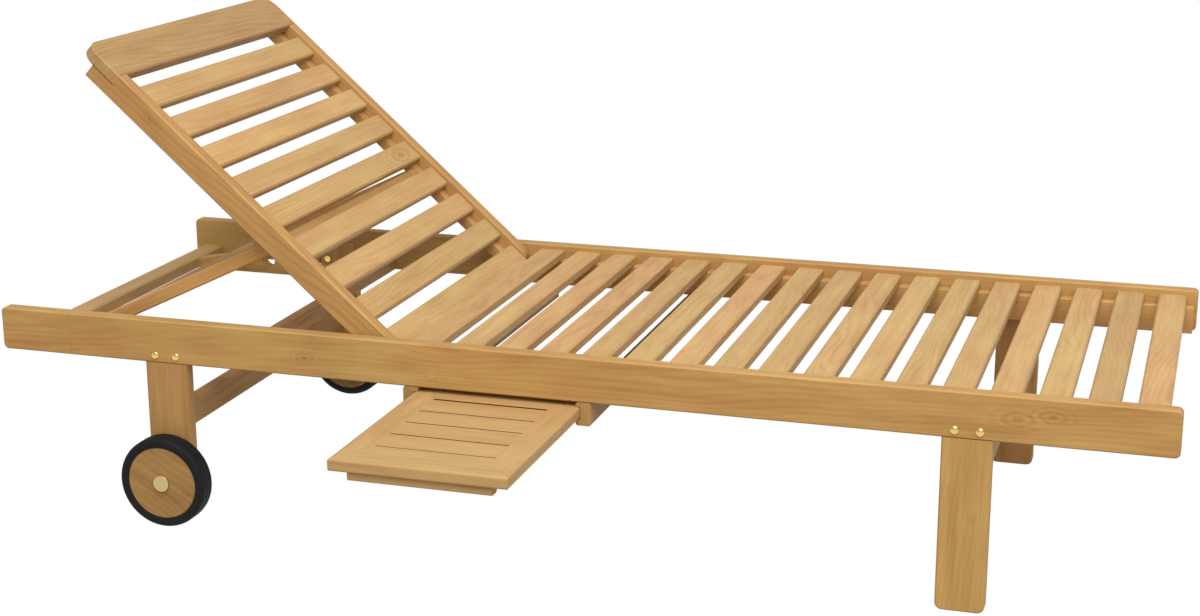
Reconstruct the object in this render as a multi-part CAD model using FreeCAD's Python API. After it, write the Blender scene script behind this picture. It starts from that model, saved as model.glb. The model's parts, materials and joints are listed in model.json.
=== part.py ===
import FreeCAD, Part
import math
import os

# Sun lounger. Millimetres. X runs from the head (-) to the foot (+), Y across, Z up from the floor.
# The pieces are drawn about the lounger's centre line and moved across at the end, so that the
# origin is under the middle of everything, with the tray pulled out. "Right" is the tray's side, -Y.

vector = FreeCAD.Vector

# Side rails
rail_length = 2000.0
overall_width = 740.0
rail_height = 75.0
rail_thickness = 25.0
rail_top = 360.0
rail_end_radius = 9.0
edge_ease = 2.5

# Slats of the seat, and of the back
slat_width = 48.0
slat_thickness = 17.0
slat_spacing = 73.5
slat_drop = 9.0
slat_ease = 3.0
slat_under_ease = 1.5
slat_end_gap = 1.0
seat_foot_margin = 20.0

# Ledgers that carry the slats
ledger_thickness = 20.0
ledger_ease = 2.0
ledger_overhang = 14.0

# Legs, lapped into the rails so that both faces are flush, and the stretchers between them
leg_width = 78.0
lap_depth = 12.5
lap_height = 50.0
leg_corner_radius = 12.0
front_leg_setback = 315.0
rear_leg_setback = 318.0
rear_leg_foot = 42.0
stretcher_thickness = 25.0
stretcher_height = 46.0
stretcher_rise = 154.0

# Leg bolts, with a domed head outside and a nut inside
bolt_offset = 19.5
bolt_drop = 62.0
bolt_radius = 4.0
bolt_head_radius = 7.0
bolt_head_height = 3.6
nut_across_flats = 12.0
nut_height = 6.0
bolt_clearance = 0.2
round_sides = 16
dome_knee_radius = 0.8
dome_knee_height = 0.6
dome_flat = 0.35

# Plug over the screw behind each rail
plug_radius = 10.0
plug_depth = 8.0
plug_proud = 0.5
plug_setback = 53.0

# Board between the rails at the head end
cross_rail_margin = 19.0
cross_rail_width = 40.0
cross_rail_thickness = 22.5

# Backrest
back_share = 0.355
back_angle = 41.5
back_angle_most = 57.0
hinge_setback = 46.0
fold_gap = 21.0
stile_thickness = 25.0
stile_depth = 45.0
stile_drop = 2.0
stile_side_gap = 3.0
back_ledger_tail = 20.0
headboard_height = 79.0
headboard_overhang = 5.5
headboard_thickness = 22.0
headboard_corner_radius = 30.0
headboard_lap = 49.0
ledger_end_gap = 5.0
pivot_pin_radius = 6.0
pivot_pin_depth = 14.0
pivot_pin_grip = 20.0
pivot_collar_radius = 11.0
pivot_collar_gap = 0.4
running_clearance = 0.06
hole_end_gap = 1.0

# Prop that stands on the racks
prop_share = 0.36
prop_bar_side = 20.0
prop_bar_ease = 3.0
prop_slat_gap = 1.6
prop_tenon_radius = 7.0
prop_leg_depth = 24.0
prop_leg_thickness = 20.0
prop_ledger_gap = 2.0
prop_stile_depth = 13.0
foot_bar_width = 28.0
foot_bar_height = 16.0
foot_bar_flat_gap = 1.3
foot_bar_rest_gap = 2.5

# Racks
rack_thickness = 25.0
rack_prop_gap = 7.0
rack_height = 34.0
rack_head_height = 20.0
rack_foot_height = 20.0
rack_path_gap = 1.0
rack_board_setback = 264.0
rack_board_thickness = 25.0
rack_board_gap = 1.0
notch_count = 3
notch_pitch = 48.0
notch_width = 28.0
notch_floor = 13.0
notch_lip = 1.0
tooth_run = 10.0
tooth_round = 3.0

# Tray and its runners
tray_setback = 164.0
tray_width = 288.0
tray_length = 410.0
tray_thickness = 20.0
tray_reach = 344.0
tray_side_width = 46.0
tray_front_width = 75.0
tray_slot = 4.7
tray_slat_width = 55.0
tray_slat_thickness = 14.0
tray_slat_count = 4
tray_round = 4.0
tray_side_gap = 1.0
tray_lift_gap = 0.5
runner_width = 26.0
runner_height = 39.0
runner_groove = 8.0
runner_roof = 7.5
batten_inset = 28.0
batten_setback = 8.0
batten_width = 22.0
batten_height = 15.0

# Wheels
tyre_radius = 80.0
disc_radius = 64.5
wheel_leg_gap = 2.0
tyre_width = 38.0
tyre_shoulder = 6.0
disc_inset = 2.0
disc_ease = 2.0
axle_radius = 6.0
axle_clearance = 0.1
axle_head_radius = 14.5
axle_head_height = 8.0
axle_head_gap = 0.4
axle_washer_radius = 14.0
axle_washer_gap = 0.4
axle_nut_across_flats = 19.0
axle_nut_height = 9.0

# Lines that several pieces share
rail_bottom = rail_top - rail_height
rail_outer = overall_width / 2
rail_inner = rail_outer - rail_thickness
seat_top = rail_top - slat_drop
seat_bottom = seat_top - slat_thickness
back_length = rail_length * back_share
hinge_x = back_length - rail_length / 2
front_leg_x = rail_length / 2 - front_leg_setback
rear_leg_x = rear_leg_setback - rail_length / 2
foot_slat_edge = rail_length / 2 - seat_foot_margin
head_slat_edge = hinge_x + hinge_setback
seat_run = foot_slat_edge - head_slat_edge - slat_width
seat_slat_count = round(seat_run / slat_spacing) + 1
seat_pitch = seat_run / (seat_slat_count - 1)
ledger_inner = rail_inner - ledger_thickness
lap_outer = rail_outer - lap_depth
leg_top = rail_bottom + lap_height
stretcher_top = stretcher_rise + stretcher_height
bolt_z = rail_top - bolt_drop
cross_rail_head = -rail_length / 2 + cross_rail_margin
cross_rail_foot = cross_rail_head + cross_rail_width

# The backrest is drawn lying flat: a distance along it runs towards the head from its hinge,
# and a height above it is taken from the hinge's axis.
hinge_z = rail_top - stile_drop - stile_depth / 2
stile_outer = rail_inner - stile_side_gap
stile_inner = stile_outer - stile_thickness
back_slat_top = seat_top - hinge_z
back_slat_bottom = back_slat_top - slat_thickness
back_slat_start = fold_gap - hinge_setback
headboard_start = back_length + headboard_overhang - headboard_height
back_run = headboard_start - back_slat_start
back_slat_count = round(back_run / slat_spacing)
back_pitch = back_run / back_slat_count
stile_end = headboard_start + headboard_lap
headboard_back = stile_depth / 2 - headboard_thickness
back_ledger_inner = stile_inner - ledger_thickness

# The prop's pivot lies under the gap between two back slats. Lying flat, its foot bar stops short of
# the head cross rail, and that sets its length.
prop_reach = math.hypot(prop_bar_side / 2, prop_bar_side / 2 - prop_bar_ease)
half_gap = (back_pitch - slat_width) / 2
prop_bay = round((prop_share * back_length - back_slat_start + half_gap) / back_pitch)
prop_along = back_slat_start + prop_bay * back_pitch - half_gap
prop_height = back_slat_bottom - prop_slat_gap - prop_reach
prop_flat_x = hinge_x - prop_along
prop_flat_z = hinge_z + prop_height
prop_length = prop_flat_x - (cross_rail_foot + foot_bar_flat_gap + foot_bar_width / 2)
prop_outer = back_ledger_inner - prop_ledger_gap
prop_inner = prop_outer - prop_leg_thickness
rack_outer = prop_inner - rack_prop_gap
rack_inner = rack_outer - rack_thickness
rack_board_foot = hinge_x - rack_board_setback
rack_foot_x = rack_board_foot - rack_board_thickness
rack_board_top = prop_flat_z - max(prop_reach, prop_leg_depth / 2) - rack_board_gap

# Tray, plugs and wheels
plug_x = head_slat_edge + plug_setback
plug_z = (rail_bottom + seat_bottom) / 2
tray_x = head_slat_edge + tray_setback
tray_low_x = tray_x - tray_width / 2
tray_high_x = tray_x + tray_width / 2
tray_front = -rail_outer - tray_reach
tray_back = tray_front + tray_length
runner_bottom = rail_bottom - runner_height
groove_top = rail_bottom - runner_roof
tray_top = groove_top - tray_lift_gap
tray_bottom = tray_top - tray_thickness
groove_bottom = tray_bottom - tray_lift_gap
slot_front = tray_front + tray_front_width
slot_back = slot_front + tray_slat_count * tray_slat_width + (tray_slat_count + 1) * tray_slot
axle_x = rear_leg_x
axle_z = tyre_radius
tyre_inner = rail_outer + wheel_leg_gap
tyre_outer = tyre_inner + tyre_width
disc_inner = tyre_inner
disc_outer = tyre_outer - disc_inset
axle_head_seat = disc_outer + axle_head_gap
axle_end = axle_head_seat + axle_head_height

# Moves the whole lounger across so that the origin is midway between the tray's front edge and the
# far axle bolt's end.
centre_shift = -(tray_front + axle_end) / 2


def box(x_low, x_high, y_low, y_high, z_low, z_high):
    """A plain block between two corners."""
    size = vector(x_high - x_low, y_high - y_low, z_high - z_low)
    return Part.makeBox(size.x, size.y, size.z, vector(x_low, y_low, z_low))


def rod(radius, x, z, y_low, y_high):
    """A cylinder along Y."""
    return Part.makeCylinder(radius, y_high - y_low, vector(x, y_low, z), vector(0, 1, 0))


def edges_along(shape, direction):
    """The straight edges that run in a direction."""
    found = []
    for edge in shape.Edges:
        if edge.Curve.TypeId == "Part::GeomLine":
            if abs(edge.Curve.Direction.dot(direction)) > 0.999:
                found.append(edge)
    return found


def edges_at(shape, points):
    """The edges along Y that pass through one of the points (x, z)."""
    found = []
    for edge in edges_along(shape, vector(0, 1, 0)):
        middle = edge.CenterOfMass
        if any(math.hypot(middle.x - x, middle.z - z) < 0.01 for x, z in points):
            found.append(edge)
    return found


def outline_edges(shape, direction):
    """The edges round the two end faces of a board, which look along a direction."""
    ends = [shape.BoundBox.YMin, shape.BoundBox.YMax]
    if direction.z:
        ends = [shape.BoundBox.ZMin, shape.BoundBox.ZMax]
    found = []
    for edge in shape.Edges:
        place = edge.CenterOfMass.dot(direction)
        if min(abs(place - end) for end in ends) < 0.001:
            found.append(edge)
    return found


def stick(x_low, x_high, y_low, y_high, z_low, z_high, along, ease):
    """A stick whose four long edges are eased."""
    plain = box(x_low, x_high, y_low, y_high, z_low, z_high)
    return plain.makeChamfer(ease, edges_along(plain, along))


def make_slat(x_low, x_high, half_length, z_low, z_high):
    """A slat along Y, with its upper edges eased, and its lower edges less."""
    slat = box(x_low, x_high, -half_length, half_length, z_low, z_high)
    slat = slat.makeChamfer(slat_ease, edges_at(slat, [(x_low, z_high), (x_high, z_high)]))
    return slat.makeChamfer(slat_under_ease, edges_at(slat, [(x_low, z_low), (x_high, z_low)]))


def panel(x_low, x_high, y_low, y_high, z_low, z_high, corners, ease):
    """A board on edge: its corners (x, z) are rounded first, then the edges of both faces are eased."""
    shape = box(x_low, x_high, y_low, y_high, z_low, z_high)
    for corner_radius, points in corners:
        shape = shape.makeFillet(corner_radius, edges_at(shape, points))
    return shape.makeChamfer(ease, outline_edges(shape, vector(0, 1, 0)))


def prism(points, z_low, z_high):
    """A block with a straight-sided plan."""
    corners = [vector(x, y, z_low) for x, y in points]
    face = Part.Face(Part.makePolygon(corners + corners[:1]))
    return face.extrude(vector(0, 0, z_high - z_low))


def ring(radius, x, z, y):
    """A closed many-sided ring across Y, for fasteners and their holes."""
    corners = []
    for step in range(round_sides + 1):
        angle = 2 * math.pi * step / round_sides
        corners.append(vector(x + radius * math.cos(angle), y, z + radius * math.sin(angle)))
    return Part.makePolygon(corners)


def facet_rod(radius, x, z, y_low, y_high):
    """A rod along Y with flat sides."""
    return Part.Face(ring(radius, x, z, y_low)).extrude(vector(0, y_high - y_low, 0))


def dome(radius, height, x, z, seat, outward):
    """A domed cap in two rings, on the plane y = seat; outward is +1 or -1."""
    knee = seat + outward * height * dome_knee_height
    rings = [ring(radius, x, z, seat), ring(radius * dome_knee_radius, x, z, knee),
             ring(radius * dome_flat, x, z, seat + outward * height)]
    return Part.makeLoft(rings, True, True)


def hexagon(across_flats, x, z, y_low, y_high):
    """A hexagonal block along Y."""
    reach = across_flats / math.sqrt(3)
    corners = []
    for step in range(7):
        angle = math.radians(60 * step)
        corners.append(vector(x + reach * math.cos(angle), y_low, z + reach * math.sin(angle)))
    return Part.Face(Part.makePolygon(corners)).extrude(vector(0, y_high - y_low, 0))


def left_of(shape):
    """The same piece on the other side of the lounger."""
    return shape.mirror(vector(0, 0, 0), vector(0, 1, 0))


def raised(shape):
    """A backrest piece turned from flat to its rest angle."""
    turned = shape.copy()
    turned.rotate(vector(hinge_x, 0, hinge_z), vector(0, 1, 0), back_angle)
    return turned


def turned_about_hinge(x, z, angle):
    """Where a point of the flat backrest goes when the backrest is raised to an angle."""
    sine = math.sin(math.radians(angle))
    cosine = math.cos(math.radians(angle))
    across = x - hinge_x
    up = z - hinge_z
    return hinge_x + across * cosine + up * sine, hinge_z - across * sine + up * cosine


# At rest the foot bar stands just over the racks, and that sets how far the prop is folded out.
tooth_top = rail_bottom + rack_height
rest_pivot_x, rest_pivot_z = turned_about_hinge(prop_flat_x, prop_flat_z, back_angle)
rest_bar_z = tooth_top + foot_bar_rest_gap + foot_bar_height / 2
prop_slope = math.degrees(math.asin((rest_pivot_z - rest_bar_z) / prop_length))
rest_bar_x = rest_pivot_x - prop_length * math.cos(math.radians(prop_slope))
prop_fold = back_angle + prop_slope


def foot_bar_low(x):
    """The lowest that the foot bar passes over a place x while the backrest moves over its range."""
    lowest = rail_top
    for half_degree in range(int(2 * back_angle_most) + 1):
        angle = half_degree / 2
        slope = prop_slope * angle / back_angle
        pivot_x, pivot_z = turned_about_hinge(prop_flat_x, prop_flat_z, angle)
        bar_x = pivot_x - prop_length * math.cos(math.radians(slope))
        bar_z = pivot_z - prop_length * math.sin(math.radians(slope))
        tilt = math.radians(slope - prop_slope)
        half_flat = (foot_bar_width - foot_bar_height) / 2
        for part in (-1.0, -0.5, 0.0, 0.5, 1.0):
            round_x = bar_x + part * half_flat * math.cos(tilt)
            round_z = bar_z + part * half_flat * math.sin(tilt)
            reach = abs(x - round_x)
            if reach < foot_bar_height / 2:
                lowest = min(lowest, round_z - math.sqrt((foot_bar_height / 2) ** 2 - reach ** 2))
    return lowest


def prop_placed(shape):
    """A prop piece turned from lying flat under the slats to its rest place."""
    turned = shape.copy()
    turned.rotate(vector(prop_flat_x, 0, prop_flat_z), vector(0, 1, 0), -prop_fold)
    return raised(turned)


def make_rail():
    """Right side rail, with the legs' housings, the bolt holes, the plug's seat and the hinge pin's hole."""
    half = rail_length / 2
    corners = [(x, z) for x in (-half, half) for z in (rail_bottom, rail_top)]
    rail = panel(-half, half, -rail_outer, -rail_inner, rail_bottom, rail_top,
                 [(rail_end_radius, corners)], edge_ease)
    for leg_x in (front_leg_x, rear_leg_x):
        rail = rail.cut(box(leg_x - leg_width / 2, leg_x + leg_width / 2, -lap_outer, -rail_inner,
                            rail_bottom, leg_top))
        for offset in (-bolt_offset, bolt_offset):
            rail = rail.cut(facet_rod(bolt_radius + bolt_clearance, leg_x + offset, bolt_z,
                                      -rail_outer, -rail_inner))
    rail = rail.cut(facet_rod(plug_radius, plug_x, plug_z, -rail_outer, -rail_outer + plug_depth))
    hole_end = rail_inner + pivot_pin_depth + hole_end_gap
    return rail.cut(rod(pivot_pin_radius + running_clearance, hinge_x, hinge_z, -hole_end, -rail_inner))


def make_seat_ledger():
    """Right seat ledger, with the holes of the front leg's bolts."""
    ledger = stick(head_slat_edge - ledger_overhang, foot_slat_edge + ledger_overhang,
                   -rail_inner, -ledger_inner, rail_bottom, seat_bottom, vector(1, 0, 0), ledger_ease)
    for offset in (-bolt_offset, bolt_offset):
        ledger = ledger.cut(facet_rod(bolt_radius + bolt_clearance, front_leg_x + offset, bolt_z,
                                      -rail_inner, -ledger_inner))
    return ledger


def make_leg(x, foot):
    """Right leg board: its outer half stops under the rail, its inner half fills the rail's housing."""
    low_x = x - leg_width / 2
    high_x = x + leg_width / 2
    feet = [(low_x, foot), (high_x, foot)]
    leg = panel(low_x, high_x, -rail_outer, -rail_inner, foot, leg_top, [(leg_corner_radius, feet)], edge_ease)
    leg = leg.cut(box(low_x, high_x, -rail_outer, -lap_outer, rail_bottom, leg_top))
    for offset in (-bolt_offset, bolt_offset):
        leg = leg.cut(facet_rod(bolt_radius + bolt_clearance, x + offset, bolt_z, -rail_outer, -rail_inner))
    return leg


def make_leg_bolt(x, inner):
    """Right bolt through rail and leg to an inner face, and the nut on its end."""
    bolt = facet_rod(bolt_radius, x, bolt_z, -rail_outer, -inner)
    bolt = bolt.fuse(dome(bolt_head_radius, bolt_head_height, x, bolt_z, -rail_outer, -1))
    nut = hexagon(nut_across_flats, x, bolt_z, -inner, -inner + nut_height)
    return [bolt.removeSplitter(), nut]


def make_stretcher(x):
    """A stretcher between a pair of legs."""
    half = stretcher_thickness / 2
    return stick(x - half, x + half, -rail_inner, rail_inner, stretcher_rise, stretcher_top,
                 vector(0, 1, 0), edge_ease)


def make_rack():
    """Right rack: a ramp from the head cross rail, then round-bottomed notches between teeth."""
    notch_radius = notch_width / 2
    first_notch = rest_bar_x
    points = [(cross_rail_foot, rail_bottom), (cross_rail_foot, rail_bottom + rack_head_height)]
    peaks = [first_notch - notch_radius - tooth_run]
    for number in range(notch_count):
        middle = first_notch + notch_pitch * number
        peaks = peaks + [middle - notch_radius, middle + notch_radius]
    tips = []
    for place in peaks:
        clear = min(foot_bar_low(place + part * tooth_run) for part in (-1.0, -0.5, 0.0, 0.5, 1.0))
        tips.append((place, min(tooth_top, clear - rack_path_gap)))
    lowest_tip = min(z for x, z in tips)
    round_z = min(rail_bottom + notch_floor + notch_radius, lowest_tip - notch_lip)
    points = points + tips
    points.append((peaks[-1] + tooth_run, rail_bottom + rack_foot_height))
    points.append((rack_foot_x, rail_bottom + rack_foot_height))
    points.append((rack_foot_x, rail_bottom))
    corners = [vector(x, -rack_outer, z) for x, z in points]
    face = Part.Face(Part.makePolygon(corners + corners[:1]))
    rack = face.extrude(vector(0, rack_thickness, 0))
    for number in range(notch_count):
        middle = first_notch + notch_pitch * number
        rack = rack.cut(rod(notch_radius, middle, round_z, -rack_outer, -rack_inner))
        rack = rack.cut(box(middle - notch_radius, middle + notch_radius, -rack_outer, -rack_inner,
                            round_z, rail_top))
    return rack.makeFillet(tooth_round, edges_at(rack, tips))


def make_runner(outward):
    """Tray runner along Y, grooved on the side that faces the tray; outward is -1 at the head end."""
    inner = tray_x + outward * (tray_width / 2 + tray_side_gap - runner_groove)
    outer = inner + outward * runner_width
    runner = stick(min(inner, outer), max(inner, outer), -rail_outer, rail_outer, runner_bottom, rail_bottom,
                   vector(0, 1, 0), edge_ease)
    groove_end = inner + outward * runner_groove
    return runner.cut(box(min(inner, groove_end), max(inner, groove_end), -rail_outer, rail_outer,
                          groove_bottom, groove_top))


def make_axle_bolt():
    """Right axle bolt with a domed head, the washer behind the wheel and the nut inside the leg."""
    shank_end = -rail_inner + axle_nut_height
    bolt = rod(axle_radius, axle_x, axle_z, -axle_head_seat, shank_end)
    bolt = bolt.fuse(dome(axle_head_radius, axle_head_height, axle_x, axle_z, -axle_head_seat, -1))
    washer_face = -disc_inner + axle_washer_gap
    washer = facet_rod(axle_washer_radius, axle_x, axle_z, washer_face, -rail_outer)
    washer = washer.cut(rod(axle_radius, axle_x, axle_z, washer_face, -rail_outer))
    nut = hexagon(axle_nut_across_flats, axle_x, axle_z, -rail_inner, shank_end)
    nut = nut.cut(rod(axle_radius, axle_x, axle_z, -rail_inner, shank_end))
    return [bolt.removeSplitter(), washer, nut]


def make_stile():
    """Right stile, lying flat: round about the hinge at its foot, cut down for the headboard at its head."""
    half = stile_depth / 2
    low_x = hinge_x - stile_end
    stile = box(low_x, hinge_x + half, -stile_outer, -stile_inner, hinge_z - half, hinge_z + half)
    foot = [(hinge_x + half, hinge_z - half), (hinge_x + half, hinge_z + half)]
    stile = stile.makeFillet(half - 0.01, edges_at(stile, foot))
    stile = stile.makeChamfer(edge_ease, outline_edges(stile, vector(0, 1, 0)))
    stile = stile.cut(box(low_x, hinge_x - headboard_start, -stile_outer, -stile_inner,
                          hinge_z + headboard_back, hinge_z + half))
    stile = stile.cut(rod(pivot_pin_radius, hinge_x, hinge_z, -stile_outer, -stile_outer + pivot_pin_grip))
    hole_end = stile_inner + prop_stile_depth + hole_end_gap
    return stile.cut(rod(prop_tenon_radius + running_clearance, prop_flat_x, prop_flat_z,
                         -hole_end, -stile_inner))


def make_pivot_pin():
    """Right hinge pin with a collar between stile and rail."""
    pin = rod(pivot_pin_radius, hinge_x, hinge_z, -rail_inner - pivot_pin_depth,
              -stile_outer + pivot_pin_grip)
    collar = facet_rod(pivot_collar_radius, hinge_x, hinge_z, -rail_inner + pivot_collar_gap, -stile_outer)
    return pin.fuse(collar).removeSplitter()


def make_back_ledger():
    """Right back ledger, lying flat, with the hole for the prop's pivot."""
    ledger = stick(hinge_x - stile_end + ledger_end_gap, hinge_x + back_ledger_tail,
                   -stile_inner, -back_ledger_inner, hinge_z - stile_depth / 2, hinge_z + back_slat_bottom,
                   vector(1, 0, 0), ledger_ease)
    return ledger.cut(rod(prop_tenon_radius + running_clearance, prop_flat_x, prop_flat_z,
                          -stile_inner, -back_ledger_inner))


def make_headboard():
    """Headboard, lying flat, lapped over the stiles, with rounded upper corners."""
    high_x = hinge_x - headboard_start
    low_x = high_x - headboard_height
    board = box(low_x, high_x, -stile_outer, stile_outer, hinge_z + headboard_back, hinge_z + stile_depth / 2)
    upper = []
    for edge in edges_along(board, vector(0, 0, 1)):
        if abs(edge.CenterOfMass.x - low_x) < 0.01:
            upper.append(edge)
    board = board.makeFillet(headboard_corner_radius, upper)
    return board.makeChamfer(edge_ease, outline_edges(board, vector(0, 0, 1)))


def make_prop_leg():
    """Right prop leg, lying flat, with round ends and a hole at each."""
    half = prop_leg_depth / 2
    foot_x = prop_flat_x - prop_length
    leg = box(foot_x, prop_flat_x, -prop_outer, -prop_inner, prop_flat_z - half, prop_flat_z + half)
    for x in (foot_x, prop_flat_x):
        leg = leg.fuse(rod(half, x, prop_flat_z, -prop_outer, -prop_inner))
    leg = leg.removeSplitter()
    leg = leg.makeChamfer(edge_ease, outline_edges(leg, vector(0, 1, 0)))
    for x in (foot_x, prop_flat_x):
        leg = leg.cut(rod(prop_tenon_radius, x, prop_flat_z, -prop_outer, -prop_inner))
    return leg


def make_prop_pivot_bar():
    """Bar between the prop legs, with turned ends that run in the back ledgers and stiles."""
    half = prop_bar_side / 2
    bar = stick(prop_flat_x - half, prop_flat_x + half, -prop_inner, prop_inner,
                prop_flat_z - half, prop_flat_z + half, vector(0, 1, 0), prop_bar_ease)
    end = stile_inner + prop_stile_depth
    return bar.fuse(rod(prop_tenon_radius, prop_flat_x, prop_flat_z, -end, end)).removeSplitter()


def make_prop_foot_bar():
    """Bar between the prop legs' feet, level at rest, with turned ends in the legs."""
    foot_x = prop_flat_x - prop_length
    half = foot_bar_height / 2
    half_flat = (foot_bar_width - foot_bar_height) / 2
    bar = box(foot_x - half_flat, foot_x + half_flat, -prop_inner, prop_inner,
              prop_flat_z - half, prop_flat_z + half)
    for x in (foot_x - half_flat, foot_x + half_flat):
        bar = bar.fuse(rod(half, x, prop_flat_z, -prop_inner, prop_inner))
    bar = bar.removeSplitter()
    bar.rotate(vector(foot_x, 0, prop_flat_z), vector(0, 1, 0), prop_slope)
    return bar.fuse(rod(prop_tenon_radius, foot_x, prop_flat_z, -prop_outer, prop_outer)).removeSplitter()


def rounded_outside(shape, direction, place):
    """Rounds the long edges of a tray member on its outer side, the face at a place in a direction."""
    outside = []
    for edge in shape.Edges:
        middle = edge.CenterOfMass
        level = min(abs(middle.z - tray_bottom), abs(middle.z - tray_top))
        if abs(middle.dot(direction) - place) < 0.01 and level < 0.01:
            outside.append(edge)
    return shape.makeFillet(tray_round, outside)


def make_tray_frame():
    """The tray's four mitred members and the batten under its front edge."""
    low_in = tray_low_x + tray_side_width
    high_in = tray_high_x - tray_side_width
    front = prism([(tray_low_x, tray_front), (tray_high_x, tray_front), (high_in, slot_front),
                   (low_in, slot_front)], tray_bottom, tray_top)
    back = prism([(low_in, slot_back), (high_in, slot_back), (tray_high_x, tray_back),
                  (tray_low_x, tray_back)], tray_bottom, tray_top)
    head = prism([(tray_low_x, tray_front), (low_in, slot_front), (low_in, slot_back),
                  (tray_low_x, tray_back)], tray_bottom, tray_top)
    foot = prism([(tray_high_x, tray_front), (tray_high_x, tray_back), (high_in, slot_back),
                  (high_in, slot_front)], tray_bottom, tray_top)
    batten = stick(tray_low_x + batten_inset, tray_high_x - batten_inset, tray_front + batten_setback,
                   tray_front + batten_setback + batten_width, tray_bottom - batten_height, tray_bottom,
                   vector(1, 0, 0), edge_ease)
    along_y = vector(0, 1, 0)
    along_x = vector(1, 0, 0)
    return Part.makeCompound([rounded_outside(front, along_y, tray_front),
                              rounded_outside(back, along_y, tray_back),
                              rounded_outside(head, along_x, tray_low_x),
                              rounded_outside(foot, along_x, tray_high_x),
                              batten])


def make_tray_slats():
    """The tray's slats, with a slot before each and one behind the last."""
    slats = []
    for number in range(tray_slat_count):
        front = slot_front + tray_slot + number * (tray_slat_width + tray_slot)
        slats.append(stick(tray_low_x + tray_side_width, tray_high_x - tray_side_width, front,
                           front + tray_slat_width, tray_top - tray_slat_thickness, tray_top,
                           vector(1, 0, 0), ledger_ease / 2))
    return Part.makeCompound(slats)


def make_wheel_disc():
    """Right wheel disc with its running bore."""
    disc = rod(disc_radius, axle_x, axle_z, -disc_outer, -disc_inner)
    rims = [edge for edge in disc.Edges if edge.Closed and edge.CenterOfMass.y < -disc_outer + 0.01]
    disc = disc.makeChamfer(disc_ease, rims)
    return disc.cut(rod(axle_radius + axle_clearance, axle_x, axle_z, -disc_outer, -disc_inner))


def make_tyre():
    """Right tyre, a ring with eased shoulders."""
    tyre = rod(tyre_radius, axle_x, axle_z, -tyre_outer, -tyre_inner)
    rims = [edge for edge in tyre.Edges if edge.Closed]
    tyre = tyre.makeChamfer(tyre_shoulder, rims)
    return tyre.cut(rod(disc_radius, axle_x, axle_z, -tyre_outer, -tyre_inner))


nodes = {}


def add_pair(name, right_piece):
    """Adds a piece and its mirror image as two nodes."""
    nodes[name + "_right"] = right_piece
    nodes[name + "_left"] = left_of(right_piece)


# Frame
add_pair("rail", make_rail())
add_pair("seat_ledger", make_seat_ledger())
slat_end = rail_inner - slat_end_gap
for number in range(seat_slat_count):
    edge_x = head_slat_edge + number * seat_pitch
    slat = make_slat(edge_x, edge_x + slat_width, slat_end, seat_bottom, seat_top)
    nodes["seat_slat_%02d" % (number + 1)] = slat
add_pair("leg_front", make_leg(front_leg_x, 0))
rear_leg = make_leg(rear_leg_x, rear_leg_foot)
add_pair("leg_rear", rear_leg.cut(rod(axle_radius, axle_x, axle_z, -rail_outer, -rail_inner)))
nodes["leg_stretchers"] = Part.makeCompound([make_stretcher(front_leg_x), make_stretcher(rear_leg_x)])
nodes["rack_board"] = stick(rack_foot_x, rack_board_foot, -rail_inner, rail_inner, rail_bottom, rack_board_top,
                            vector(0, 1, 0), edge_ease)
nodes["head_cross_rail"] = stick(cross_rail_head, cross_rail_foot, -rail_inner, rail_inner, rail_bottom,
                                 rail_bottom + cross_rail_thickness, vector(0, 1, 0), edge_ease)
add_pair("rack", make_rack())
nodes["tray_runner_head"] = make_runner(-1)
nodes["tray_runner_foot"] = make_runner(1)
plug = facet_rod(plug_radius, plug_x, plug_z, -rail_outer - plug_proud, -rail_outer + plug_depth)
nodes["rail_plugs"] = Part.makeCompound([plug, left_of(plug)])
bolts = []
for leg_x, inner in ((front_leg_x, ledger_inner), (rear_leg_x, rail_inner)):
    for offset in (-bolt_offset, bolt_offset):
        for fastener in make_leg_bolt(leg_x + offset, inner):
            bolts = bolts + [fastener, left_of(fastener)]
nodes["leg_bolts"] = Part.makeCompound(bolts)
axle_pieces = []
for fastener in make_axle_bolt():
    axle_pieces = axle_pieces + [fastener, left_of(fastener)]
nodes["axle_bolts"] = Part.makeCompound(axle_pieces)

# Backrest
add_pair("stile", raised(make_stile()))
add_pair("back_ledger", raised(make_back_ledger()))
back_slat_end = stile_inner - slat_end_gap
for number in range(back_slat_count):
    high_x = hinge_x - back_slat_start - number * back_pitch
    slat = make_slat(high_x - slat_width, high_x, back_slat_end,
                     hinge_z + back_slat_bottom, hinge_z + back_slat_top)
    nodes["back_slat_%d" % (number + 1)] = raised(slat)
nodes["headboard"] = raised(make_headboard())
pin = make_pivot_pin()
nodes["pivot_pins"] = raised(Part.makeCompound([pin, left_of(pin)]))

# Prop
nodes["prop_pivot_bar"] = prop_placed(make_prop_pivot_bar())
add_pair("prop_leg", prop_placed(make_prop_leg()))
nodes["prop_foot_bar"] = prop_placed(make_prop_foot_bar())

# Tray
nodes["tray_frame"] = make_tray_frame()
nodes["tray_slats"] = make_tray_slats()

# Wheels
add_pair("wheel_disc", make_wheel_disc())
add_pair("tyre", make_tyre())

os.makedirs("parts", exist_ok=True)
for name, shape in nodes.items():
    shape.translate(vector(0, centre_shift, 0))
    shape.exportStep("parts/" + name + ".step")
print("prop slope %.4f, foot bar at x %.3f z %.2f" % (prop_slope, rest_bar_x, rest_bar_z))
print("shift %.2f" % centre_shift)
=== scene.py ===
import json
import math

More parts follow.
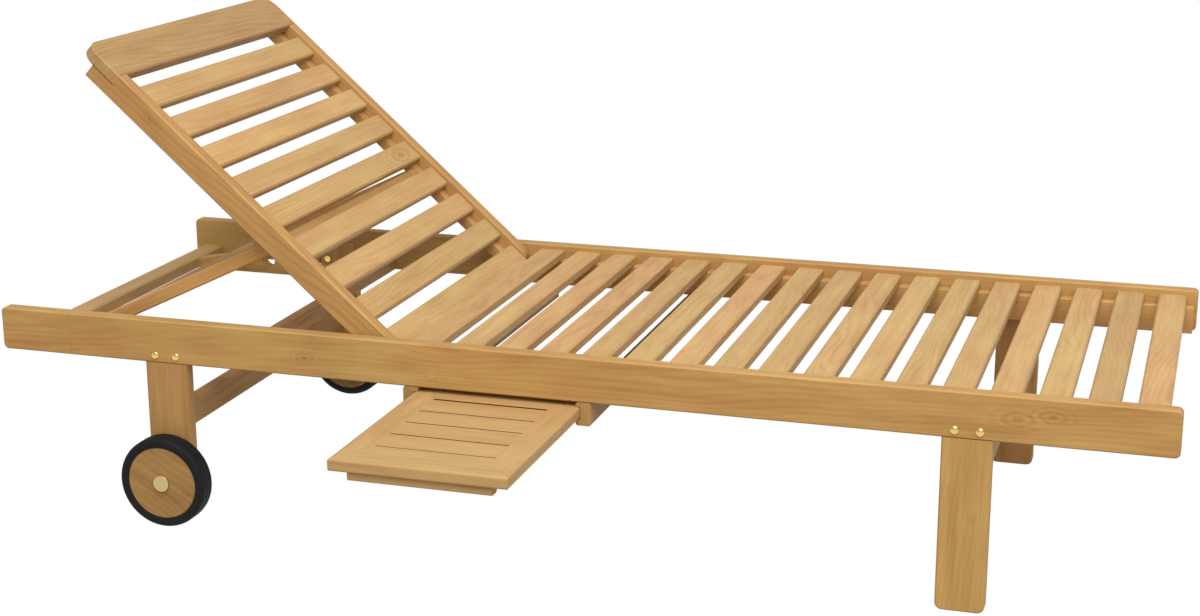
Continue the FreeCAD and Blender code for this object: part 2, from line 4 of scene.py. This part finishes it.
import bpy
import numpy as np
from mathutils import Matrix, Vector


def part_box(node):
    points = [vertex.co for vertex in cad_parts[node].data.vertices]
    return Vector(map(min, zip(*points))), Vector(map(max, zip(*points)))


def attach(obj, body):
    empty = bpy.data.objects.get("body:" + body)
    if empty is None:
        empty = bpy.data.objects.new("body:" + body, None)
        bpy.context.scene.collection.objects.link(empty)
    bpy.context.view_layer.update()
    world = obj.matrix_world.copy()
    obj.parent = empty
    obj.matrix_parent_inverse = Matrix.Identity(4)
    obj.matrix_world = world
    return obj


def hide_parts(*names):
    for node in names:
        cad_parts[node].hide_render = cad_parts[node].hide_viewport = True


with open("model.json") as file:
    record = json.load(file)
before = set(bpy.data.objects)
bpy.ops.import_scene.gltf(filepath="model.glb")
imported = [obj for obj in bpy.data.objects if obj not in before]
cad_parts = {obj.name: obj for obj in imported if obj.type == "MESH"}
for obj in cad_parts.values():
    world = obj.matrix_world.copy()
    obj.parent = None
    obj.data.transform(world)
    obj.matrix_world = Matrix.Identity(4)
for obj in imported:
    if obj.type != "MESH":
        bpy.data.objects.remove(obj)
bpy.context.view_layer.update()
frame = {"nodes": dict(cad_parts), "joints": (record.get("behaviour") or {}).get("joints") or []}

# Camera that matches the photograph, in the row frame (metres and degrees).
photo_width = 1200
camera_place = (1.0396, -3.2430, 1.3231)
camera_azimuth = 17.291
camera_elevation = 15.485
camera_roll = -0.130
focal_pixels = 2069.1
sensor_width = 36.0

# Light and floor
floor_size = 60.0
floor_colour = (0.40, 0.34, 0.27)
world_colour = (1.0, 0.99, 0.97)
world_strength = 0.55
key_size = 5.0
key_place = (1.6, -3.0, 5.0)
key_power = 380.0

# Teak: pale and dark wood, and the strengths of rings, streaks and smudges
slat_wood = ((0.605, 0.396, 0.184), (0.400, 0.228, 0.088), 0.20, 0.62, 0.95)
rail_wood = ((0.570, 0.345, 0.129), (0.365, 0.190, 0.060), 0.22, 0.62, 1.25)
disc_wood = ((0.570, 0.335, 0.122), (0.330, 0.170, 0.055), 0.40, 1.10, 1.50)
rosy_tint = (1.03, 0.945, 0.88)
yellow_tint = (0.985, 1.015, 0.88)
ring_spacing = 0.0085
ring_bend = 2.4
pith_aside = 0.05
pith_lean = 0.05
pith_below = 0.045
pith_spread = 0.02
plain_darkness = 0.34
fibre_strength = 0.40
relief_strength = 0.25
relief_depth = 0.0004
wood_roughness = 0.50
wood_sheen = 0.30
# Painted shade on the faces inside the slots between the tray slats: its colour, and how far past the slats
# it reaches
slot_shade = (0.060, 0.026, 0.008)
slot_margin = 0.006
tray_slat_count = 4
seam_width = 0.0016
seam_darkness = 0.22
board_random = np.random.default_rng(11)

# Noises of the grain: rate along the board, rate across it, detail, and how the board's seed shifts each axis
slow_noise = (1.7, 8.0, 2.0, (1, 0, 1))
wander_noise = (3.4, 16.0, 2.0, (-1, 1, 0))
smudge_noise = (7.0, 34.0, 3.0, (1, -1, 0))
streak_noise = (1.9, 120.0, 4.0, (-1, 1, 0))
fibre_noise = (16.0, 620.0, 3.0, (1, 0, 0))

# Knots: how distances along the board shrink, so that a knot is drawn out, and how fast it fades by radii
knot_shrink = 0.45
knot_fade = 0.45
knot_ring_rate = 9.0
knot_darkness = 0.40
knot_ring_darkness = 0.26

# Knots by board: how far along and across the board each lies, and its radius
knots_of = {
    "rail_right": [(0.761, 0.324, 0.012), (0.812, 0.332, 0.010), (-0.42, 0.318, 0.008)],
    "leg_front_right": [(0.155, 0.700, 0.004)],
    "back_slat_5": [(0.404, 0.731, 0.017)],
    "stile_right": [(0.990, 0.062, 0.007)],
    "wheel_disc_right": [(-0.589, -0.242, 0.006)],
}

# Fine seams across a board, by how far along it they lie
seams_of = {"rail_right": [-0.8646]}

# Boards that are darker or paler than most
tone_of = {
    "headboard": 0.74,
    "seat_slat_16": 0.88,
    "stile_right": 0.90,
    "stile_left": 0.94,
    "leg_rear_right": 0.88,
    "wheel_disc_right": 0.70,
    "wheel_disc_left": 0.74,
    "tray_frame": 0.87,
    "tray_runner_head": 0.78,
    "tray_runner_foot": 0.78,
}

# Boards whose share of rosy wood is known; the others are drawn by lot
rosy_of = {
    "tray_frame": 0.10,
    "tray_runner_head": 0.25,
    "tray_runner_foot": 0.25,
    "leg_rear_right": 0.15,
    "wheel_disc_right": 0.30,
    "headboard": 0.05,
    "seat_slat_16": -0.10,
}

# Wood plugs in end grain
plug_ring_spacing = 0.0062
plug_ring_start = 1.2
plug_rim_start = 8.6

# Metal and rubber
bolt_brass_colour = (0.82, 0.60, 0.20)
cap_brass_colour = (0.62, 0.50, 0.24)
steel_colour = (0.60, 0.60, 0.60)
rubber_colour = (0.007, 0.0075, 0.008)

# Round pieces that are drawn smoother than the solids
lathe_steps = 96
tyre_shoulder = 0.0075
tyre_dish = 0.0012
tyre_groove = 0.0008
tyre_rim = 0.002
tyre_slope = 0.004
groove_place = 0.34
groove_half_width = 0.08
bolt_head_radius = 0.007
bolt_head_height = 0.0036
cap_edge = 0.0012
cap_height = 0.0045
washer_radius = 0.014
axle_nut_radius = 0.0105
axle_nut_height = 0.009
cover = 0.0001

# How the backrest and the prop lie at rest, read from the part's own joints and pieces
joints = {joint["name"]: joint for joint in frame["joints"]}
prop_place = joints["prop_hinge"]["pos_m"]
prop_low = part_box("prop_leg_right")[0]
back_angle = math.radians(-joints["backrest_hinge"]["range_deg"][0])
back_up = (-math.cos(back_angle), 0.0, math.sin(back_angle))
back_out = (math.sin(back_angle), 0.0, math.cos(back_angle))
prop_slope = math.atan2(prop_place[2] - prop_low.z, prop_place[0] - prop_low.x)
prop_along = (math.cos(prop_slope), 0.0, math.sin(prop_slope))
prop_out = (-math.sin(prop_slope), 0.0, math.cos(prop_slope))
axis_x = (1.0, 0.0, 0.0)
axis_y = (0.0, 1.0, 0.0)
axis_z = (0.0, 0.0, 1.0)
disc_slant = math.radians(-28.0)
disc_along = (math.cos(disc_slant), 0.0, math.sin(disc_slant))
disc_across = (-math.sin(disc_slant), 0.0, math.cos(disc_slant))


class Value:
    """A number in a material. Arithmetic on it adds Math nodes."""

    def __init__(self, shader, socket):
        self.shader = shader
        self.socket = socket

    def math(self, operation, *others):
        inputs = {0: self}
        for place, other in enumerate(others, start=1):
            inputs[place] = other
        made = self.shader.node("ShaderNodeMath", {"operation": operation}, inputs)
        return Value(self.shader, made.outputs[0])

    def __add__(self, other):
        return self.math("ADD", other)

    def __radd__(self, other):
        return self.math("ADD", other)

    def __sub__(self, other):
        return self.math("SUBTRACT", other)

    def __rsub__(self, other):
        return (self * -1.0).math("ADD", other)

    def __mul__(self, other):
        return self.math("MULTIPLY", other)

    def __rmul__(self, other):
        return self.math("MULTIPLY", other)

    def __truediv__(self, other):
        return self.math("DIVIDE", other)

    def __rtruediv__(self, other):
        return self.math("POWER", -1.0) * other

    def clamped(self):
        return self.math("MAXIMUM", 0.0).math("MINIMUM", 1.0)


class Shader:
    """A material and its node tree."""

    def __init__(self, name):
        self.material = bpy.data.materials.new(name)
        self.material.use_nodes = True
        self.tree = self.material.node_tree
        self.surface = self.tree.nodes["Principled BSDF"]

    def node(self, kind, settings, inputs):
        """Adds a node, sets its settings, and links or sets its input sockets."""
        made = self.tree.nodes.new(kind)
        for name, setting in settings.items():
            setattr(made, name, setting)
        self.feed(made, inputs)
        return made

    def feed(self, node, inputs):
        """Links sockets and Values to a node's inputs, and sets plain values directly."""
        for key, given in inputs.items():
            if isinstance(given, Value):
                self.tree.links.new(given.socket, node.inputs[key])
            elif isinstance(given, bpy.types.NodeSocket):
                self.tree.links.new(given, node.inputs[key])
            else:
                node.inputs[key].default_value = given

    def place(self):
        """The object's own coordinates as three Values."""
        coordinates = self.node("ShaderNodeTexCoord", {}, {})
        parts = self.node("ShaderNodeSeparateXYZ", {}, {0: coordinates.outputs["Object"]})
        return [Value(self, socket) for socket in parts.outputs]

    def vector(self, x, y, z):
        return self.node("ShaderNodeCombineXYZ", {}, {0: x, 1: y, 2: z}).outputs[0]

    def noise(self, vector, scale, detail):
        made = self.node("ShaderNodeTexNoise", {}, {"Vector": vector, "Scale": scale, "Detail": detail})
        return Value(self, made.outputs["Fac"])

    def mix(self, factor, low, high, blend="MIX"):
        """A colour between two colours."""
        made = self.node("ShaderNodeMix", {"data_type": "RGBA", "blend_type": blend},
                         {"Factor": factor, 6: low, 7: high})
        return made.outputs[2]


def opaque(colour):
    return (*colour, 1.0)


def along_axis(place, axis):
    """How far a point lies along a direction."""
    return place[0] * axis[0] + place[1] * axis[1] + place[2] * axis[2]


def grain_noise(shader, spot, seed, kind):
    """Noise that is drawn out along the grain, at a spot given as along, across and through the board."""
    along, across, through = spot
    along_rate, across_rate, detail, shift = kind
    drawn = shader.vector(along * along_rate + seed * shift[0],
                          across * across_rate + seed * shift[1],
                          through * across_rate + seed * shift[2])
    return shader.noise(drawn, 1.0, detail)


def teak_grain(shader, place, axes, wood, look, knots=(), seams=()):
    """Colour and fine height of one board. The growth rings are distances from a line that runs nearly along
    the board and beside it, and fade in and out. Streaks and fibres are noise drawn out along the grain, and
    large soft noise shifts the tint. Each knot darkens the wood round a spot, with close rings round it."""
    pale, dark, ring_strength, streak_strength, smudge_strength = wood
    seed, tone, rosy, figure = look
    spot = [along_axis(place, axis) for axis in axes]
    along, across, through = spot
    slow = grain_noise(shader, spot, seed, slow_noise)
    wander = grain_noise(shader, spot, seed, wander_noise)
    smudge = grain_noise(shader, spot, seed, smudge_noise)
    streak = grain_noise(shader, spot, seed, streak_noise)
    fibre = grain_noise(shader, spot, seed, fibre_noise)
    lean = pith_lean * math.cos(seed * 5.3)
    below = pith_spread * math.cos(seed * 1.7)
    side = across + pith_aside * math.sin(seed * 3.1) + along * lean + (slow - 0.5) * 0.10
    deep = through + pith_below + below + (wander - 0.5) * 0.05
    radius = (side * side + deep * deep).math("SQRT")
    turns = radius / ring_spacing + wander * ring_bend + (smudge - 0.5) * 0.7
    rings = (turns * (2.0 * math.pi)).math("SINE") * 0.5 + 0.5
    shown = ((slow + wander - 0.72) * 2.6).clamped()
    figured = rings * rings * shown * (ring_strength * figure)
    darkness = plain_darkness + figured + (streak - 0.5) * streak_strength
    darkness = darkness + (fibre - 0.5) * fibre_strength + (smudge - 0.5) * smudge_strength
    for knot_along, knot_across, knot_radius in knots:
        drawn_in = (along - knot_along) * knot_shrink
        aside = across - knot_across
        away = (drawn_in * drawn_in + aside * aside).math("SQRT") / knot_radius
        near = (1.0 - away * knot_fade).clamped()
        knot_rings = near * (away * knot_ring_rate).math("SINE") * knot_ring_darkness
        darkness = darkness + near * near * knot_darkness + knot_rings
    for seam in seams:
        on_seam = (along - seam).math("ABSOLUTE").math("LESS_THAN", seam_width / 2)
        darkness = darkness + on_seam * seam_darkness
    grained = shader.mix(darkness.clamped(), opaque(pale), opaque(dark))
    warm = ((slow - 0.5) * 2.4 + (smudge - 0.5) * 1.2 + 0.5 + rosy).clamped()
    tint = shader.mix(warm, opaque(yellow_tint), opaque(rosy_tint))
    tinted = shader.mix(1.0, grained, tint, "MULTIPLY")
    toned = shader.mix(1.0, tinted, (tone, tone, tone, 1.0), "MULTIPLY")
    return toned, fibre * 0.7 + rings * shown * 0.3


def finish_wood(shader, colour, height):
    """Sanded wood with little sheen and a very fine relief."""
    bump = shader.node("ShaderNodeBump", {},
                       {"Strength": relief_strength, "Distance": relief_depth, "Height": height})
    roughness = height * 0.15 + wood_roughness
    shader.feed(shader.surface, {"Base Color": colour, "Roughness": roughness, "Normal": bump.outputs[0],
                                 "Specular IOR Level": wood_sheen})
    return shader.material


def board_look(node):
    """A board's own seed, tone, share of rosy wood and strength of figure."""
    seed = board_random.uniform(0.0, 60.0)
    tone = board_random.uniform(0.93, 1.05) * tone_of.get(node, 1.0)
    rosy = rosy_of.get(node, board_random.uniform(-0.45, 0.45))
    figure = board_random.uniform(0.6, 1.5)
    return seed, tone, rosy, figure


def wear(node, material):
    """Puts a material on a CAD node in place of its plain one."""
    frame["nodes"][node].material_slots[0].material = material


def teak(node, axes, wood):
    """Gives a CAD board its own teak, with the grain along the first axis."""
    shader = Shader("teak_" + node)
    colour, height = teak_grain(shader, shader.place(), axes, wood, board_look(node),
                                knots_of.get(node, ()), seams_of.get(node, ()))
    wear(node, finish_wood(shader, colour, height))


def paint_slot_shade(shader, colour, inside):
    """Paints shade on faces that look along the slots' width, where inside is 1: painted shade between the
    tray slats.
    """
    geometry = shader.node("ShaderNodeNewGeometry", {}, {})
    facing = shader.node("ShaderNodeSeparateXYZ", {}, {0: geometry.outputs["True Normal"]})
    across = Value(shader, facing.outputs[1]).math("ABSOLUTE").math("GREATER_THAN", 0.8)
    return shader.mix(across * inside, colour, opaque(slot_shade))


def tray_teak():
    """The mitred tray frame has its grain along X in front and back and along Y in its sides; the slats
    between them lie along X, each with its own stretch of grain. Painted shade darkens the faces inside the
    slots."""
    low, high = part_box("tray_frame")
    slats_low, slats_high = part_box("tray_slats")
    shader = Shader("teak_tray_frame")
    place = shader.place()
    middle_x = (low.x + high.x) / 2
    middle_y = (slats_low.y + slats_high.y) / 2
    into_side = ((place[0] - middle_x).math("ABSOLUTE") - (slats_high.x - middle_x)) / (slats_low.x - low.x)
    into_front = (slats_low.y - place[1]) / (slats_low.y - low.y)
    into_back = (place[1] - slats_high.y) / (high.y - slats_high.y)
    is_side = into_side.math("GREATER_THAN", into_front.math("MAXIMUM", into_back).math("MAXIMUM", 0.0))
    look = board_look("tray_frame")
    front_colour, front_height = teak_grain(shader, place, (axis_x, axis_y, axis_z), slat_wood, look)
    side_colour, side_height = teak_grain(shader, place, (axis_y, axis_x, axis_z), slat_wood, look)
    colour = shader.mix(is_side, front_colour, side_colour)
    height = front_height + (side_height - front_height) * is_side
    # Painted shade on the frame's faces that look along Y, within the slots' span and a margin past it
    slot_reach = (slats_high.y - slats_low.y) / 2 + slot_margin
    inside = (place[1] - middle_y).math("ABSOLUTE").math("LESS_THAN", slot_reach)
    wear("tray_frame", finish_wood(shader, paint_slot_shade(shader, colour, inside), height))
    shader = Shader("teak_tray_slats")
    place = shader.place()
    pitch = (slats_high.y - slats_low.y) / tray_slat_count
    place[0] = place[0] + ((place[1] - slats_low.y) / pitch).math("FLOOR") * 1.7
    colour, height = teak_grain(shader, place, (axis_x, axis_y, axis_z), slat_wood, look)
    # The slats' faces that look along Y get the same painted shade
    wear("tray_slats", finish_wood(shader, paint_slot_shade(shader, colour, 1.0), height))


def plug_teak():
    """The plugs show end grain: rings round their own middle."""
    low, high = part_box("rail_plugs")
    shader = Shader("teak_rail_plugs")
    place = shader.place()
    aside = place[0] - (low.x + high.x) / 2
    above = place[2] - (low.z + high.z) / 2
    away = (aside * aside + above * above).math("SQRT")
    rings = (away * (2.0 * math.pi / plug_ring_spacing) + plug_ring_start).math("SINE") * 0.5 + 0.5
    rim = (away * 1000.0 - plug_rim_start).clamped()
    speck = shader.noise(shader.vector(place[0] * 300.0, place[1] * 60.0, place[2] * 300.0), 1.0, 3.0)
    darkness = 0.20 + rings * 0.16 + rim * 0.35 + (speck - 0.5) * 0.3
    colour = shader.mix(darkness.clamped(), opaque(rail_wood[0]), opaque(rail_wood[1]))
    wear("rail_plugs", finish_wood(shader, colour, speck))


def even(name, colour, metallic, roughness, specular=0.5):
    """One even finish."""
    shader = Shader(name)
    shader.feed(shader.surface, {"Base Color": opaque(colour), "Metallic": metallic, "Roughness": roughness,
                                 "Specular IOR Level": specular})
    return shader.material


def lathe(name, turnings, material, body, steps=lathe_steps):
    """A piece of one or more surfaces turned about lines along Y. Each turning is a middle and a profile:
    every profile point, a radius and a distance along the line, goes round its middle on a circle, or on a
    six-sided ring with six steps. A profile that sweeps forwards along the line is walked backwards instead,
    so that all faces point outwards."""
    angle = np.linspace(0.0, 2.0 * math.pi, steps, endpoint=False)
    points = []
    faces = []
    count = 0
    for middle, profile in turnings:
        radius, along = np.array(profile).T[:, :, None]
        swept = np.sum((radius[1:] + radius[:-1]) * np.diff(along, axis=0))
        if swept > 0.0:
            radius, along = radius[::-1], along[::-1]
        grid = np.stack((middle[0] + radius * np.cos(angle), middle[1] + along + 0.0 * angle,
                         middle[2] + radius * np.sin(angle)), axis=-1)
        index = count + np.arange(grid.shape[0] * steps).reshape(grid.shape[0], steps)
        ahead = np.roll(index, -1, axis=1)
        quads = np.stack((index[:-1], ahead[:-1], ahead[1:], index[1:]), axis=-1)
        points.append(grid.reshape(-1, 3))
        faces.append(quads.reshape(-1, 4))
        count = count + index.size
    mesh = bpy.data.meshes.new(name)
    mesh.from_pydata(np.concatenate(points).tolist(), [], np.concatenate(faces).tolist())
    mesh.polygons.foreach_set("use_smooth", np.full(len(mesh.polygons), steps == lathe_steps))
    mesh.materials.append(material)
    piece = bpy.data.objects.new(name, mesh)
    bpy.context.scene.collection.objects.link(piece)
    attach(piece, body)
    return piece


def make_tyre(side, material):
    """A solid rubber tyre. Its profile runs out of the bore, up a slightly dished side, round a quarter
    circle at the shoulder and over the tread with a fine groove, then back the same way on the other side."""
    low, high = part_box("tyre_" + side)
    disc_low, disc_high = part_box("wheel_disc_" + side)
    middle = (low + high) / 2
    outer = (high.z - low.z) / 2
    inner = (disc_high.z - disc_low.z) / 2
    half = (high.y - low.y) / 2
    bend = np.linspace(0.0, math.pi / 2, 9)
    shoulder_radius = outer - tyre_shoulder + tyre_shoulder * np.sin(bend)
    shoulder_along = half - tyre_shoulder + tyre_shoulder * np.cos(bend)
    wall = [(inner, 0.0), (inner, half - tyre_dish)]
    wall = wall + [(inner + tyre_rim, half - tyre_dish), (outer - tyre_shoulder - tyre_slope, half)]
    wall = wall + list(zip(shoulder_radius, shoulder_along))
    wall.append((outer, half * (groove_place + groove_half_width)))
    wall.append((outer - tyre_groove, half * groove_place))
    wall.append((outer, half * (groove_place - groove_half_width)))
    other = [(radius, -along) for radius, along in reversed(wall)]
    piece = lathe("smooth_tyre_" + side, [(middle, wall + other)], material, "wheel_" + side)
    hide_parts("tyre_" + side)


def dome_profile(radius, height, outward):
    """A quarter of an ellipse from its rim to its top: the radius goes with the cosine of an angle, and the
    height with its sine."""
    bend = np.linspace(0.0, math.pi / 2, 10)
    return list(zip(radius * np.cos(bend), outward * height * np.sin(bend)))


def make_bolt_heads(material):
    """Smooth domes over the heads of the leg bolts."""
    low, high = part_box("leg_bolts")
    middle_z = (low.z + high.z) / 2
    front_low, front_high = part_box("leg_front_right")
    offset = high.x - bolt_head_radius - (front_low.x + front_high.x) / 2
    turnings = []
    for leg in ("leg_front_right", "leg_rear_right"):
        leg_low, leg_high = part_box(leg)
        leg_x = (leg_low.x + leg_high.x) / 2
        for bolt_x in (leg_x - offset, leg_x + offset):
            for outward, top in ((-1, low.y), (1, high.y)):
                seat = top - outward * bolt_head_height
                profile = dome_profile(bolt_head_radius + cover, bolt_head_height + cover, outward)
                turnings.append(((bolt_x, seat, middle_z), profile))
    lathe("bolt_heads", turnings, material, "frame")


def make_axles(material):
    """The axle bolts: a flat round cap with eased edges outside the wheel, a washer between wheel and leg,
    and a nut inside the leg."""
    low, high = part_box("axle_bolts")
    cap_radius = (high.z - low.z) / 2
    bend = np.linspace(0.0, math.pi / 2, 7)
    turned = []
    nuts = []
    for side, outward in (("right", -1), ("left", 1)):
        middle = joints["wheel_" + side + "_spin"]["pos_m"]
        leg_low, leg_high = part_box("leg_rear_" + side)
        disc_low, disc_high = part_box("wheel_disc_" + side)
        leg_outer, leg_inner = (leg_low.y, leg_high.y) if outward < 0 else (leg_high.y, leg_low.y)
        disc_outer, disc_inner = (disc_low.y, disc_high.y) if outward < 0 else (disc_high.y, disc_low.y)
        rim_radius = cap_radius - cap_edge + cap_edge * np.cos(bend)
        rim_along = outward * (cap_height - cap_edge + cap_edge * np.sin(bend))
        cap = [(cap_radius, 0.0)] + list(zip(rim_radius, rim_along))
        cap = cap + [(cap_radius * 0.8, outward * cap_height), (0.0, outward * cap_height)]
        turned.append(((middle[0], disc_outer, middle[2]), cap))
        washer = [(washer_radius, disc_inner - leg_outer), (washer_radius, 0.0)]
        turned.append(((middle[0], leg_outer, middle[2]), washer))
        nut_end = -outward * axle_nut_height
        nut = [(axle_nut_radius, 0.0), (axle_nut_radius, nut_end), (0.0, nut_end)]
        nuts.append(((middle[0], leg_inner, middle[2]), nut))
    caps = lathe("axle_caps", turned, material, "frame")
    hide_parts("axle_bolts")
    lathe("axle_nuts", nuts, material, "frame", 6)


def make_floor():
    """A pale floor that lights the lounger from below and shows white to the camera."""
    half = floor_size / 2
    mesh = bpy.data.meshes.new("floor")
    mesh.from_pydata([(-half, -half, 0.0), (half, -half, 0.0), (half, half, 0.0), (-half, half, 0.0)], [],
                     [(0, 1, 2, 3)])
    floor = bpy.data.objects.new("floor", mesh)
    bpy.context.scene.collection.objects.link(floor)
    shader = Shader("floor")
    shader.feed(shader.surface, {"Base Color": opaque(floor_colour), "Roughness": 0.9})
    seen = shader.node("ShaderNodeLightPath", {}, {})
    direct = Value(shader, seen.outputs["Is Camera Ray"])
    mirrored = Value(shader, seen.outputs["Is Glossy Ray"])
    through = Value(shader, seen.outputs["Is Transmission Ray"])
    white = shader.node("ShaderNodeEmission", {}, {"Color": (1.0, 1.0, 1.0, 1.0), "Strength": 1.0})
    both = shader.node("ShaderNodeMixShader", {}, {0: (direct + mirrored + through).clamped(),
                                                   1: shader.surface.outputs[0], 2: white.outputs[0]})
    shader.feed(shader.tree.nodes["Material Output"], {"Surface": both.outputs[0]})
    mesh.materials.append(shader.material)


def make_light():
    """A large soft light above the camera's side, and an even bright surround."""
    light = bpy.data.lights.new("key", "AREA")
    light.size = key_size
    light.energy = key_power
    key = bpy.data.objects.new("key", light)
    key.location = key_place
    toward = np.array(key_place)
    key.rotation_euler = (math.atan2(math.hypot(toward[0], toward[1]), toward[2]), 0.0,
                          math.atan2(toward[0], -toward[1]))
    bpy.context.scene.collection.objects.link(key)
    world = bpy.data.worlds.new("studio")
    world.use_nodes = True
    background = world.node_tree.nodes["Background"]
    background.inputs["Color"].default_value = opaque(world_colour)
    background.inputs["Strength"].default_value = world_strength
    bpy.context.scene.world = world


def make_camera():
    """The photograph's camera."""
    data = bpy.data.cameras.new("camera")
    data.sensor_width = sensor_width
    data.lens = sensor_width * focal_pixels / photo_width
    camera = bpy.data.objects.new("camera", data)
    turned = Matrix.Rotation(math.radians(camera_azimuth), 4, "Z")
    tilted = Matrix.Rotation(math.radians(90.0 - camera_elevation), 4, "X")
    rolled = Matrix.Rotation(math.radians(camera_roll), 4, "Z")
    camera.matrix_world = Matrix.Translation(camera_place) @ turned @ tilted @ rolled
    bpy.context.scene.collection.objects.link(camera)
    bpy.context.scene.camera = camera


# Directions along, across and through the grain of each board, and its wood, by how the node's name starts.
# The rack board's name fits two of these, and the later one holds.
grain_of = {
    "rail_": ((axis_x, axis_z, axis_y), rail_wood),
    "seat_ledger_": ((axis_x, axis_z, axis_y), rail_wood),
    "rack_": ((axis_x, axis_z, axis_y), rail_wood),
    "seat_slat_": ((axis_y, axis_x, axis_z), slat_wood),
    "leg_front_": ((axis_z, axis_x, axis_y), rail_wood),
    "leg_rear_": ((axis_z, axis_x, axis_y), rail_wood),
    "leg_stretchers": ((axis_y, axis_z, axis_x), rail_wood),
    "rack_board": ((axis_y, axis_z, axis_x), rail_wood),
    "head_cross_rail": ((axis_y, axis_x, axis_z), slat_wood),
    "tray_runner_": ((axis_y, axis_z, axis_x), rail_wood),
    "stile_": ((back_up, back_out, axis_y), rail_wood),
    "back_ledger_": ((back_up, back_out, axis_y), rail_wood),
    "back_slat_": ((axis_y, back_up, back_out), slat_wood),
    "headboard": ((axis_y, back_up, back_out), slat_wood),
    "prop_pivot_bar": ((axis_y, axis_x, axis_z), rail_wood),
    "prop_foot_bar": ((axis_y, axis_x, axis_z), rail_wood),
    "prop_leg_": ((prop_along, prop_out, axis_y), rail_wood),
    "wheel_disc_": ((disc_along, disc_across, axis_y), disc_wood),
}
for node in sorted(frame["nodes"]):
    for start, (axes, wood) in grain_of.items():
        if node.startswith(start) and node != "rail_plugs":
            teak(node, axes, wood)
plug_teak()
tray_teak()
bolt_brass = even("bolt_brass", bolt_brass_colour, 1.0, 0.20)
cap_brass = even("cap_brass", cap_brass_colour, 0.9, 0.42)
rubber = even("tyre_rubber", rubber_colour, 0.0, 0.70, 0.22)
wear("leg_bolts", bolt_brass)
wear("pivot_pins", even("steel", steel_colour, 1.0, 0.35))
make_bolt_heads(bolt_brass)
make_axles(cap_brass)
for side in ("right", "left"):
    make_tyre(side, rubber)
make_floor()
make_light()
make_camera()
bpy.context.scene.view_settings.view_transform = "Standard"
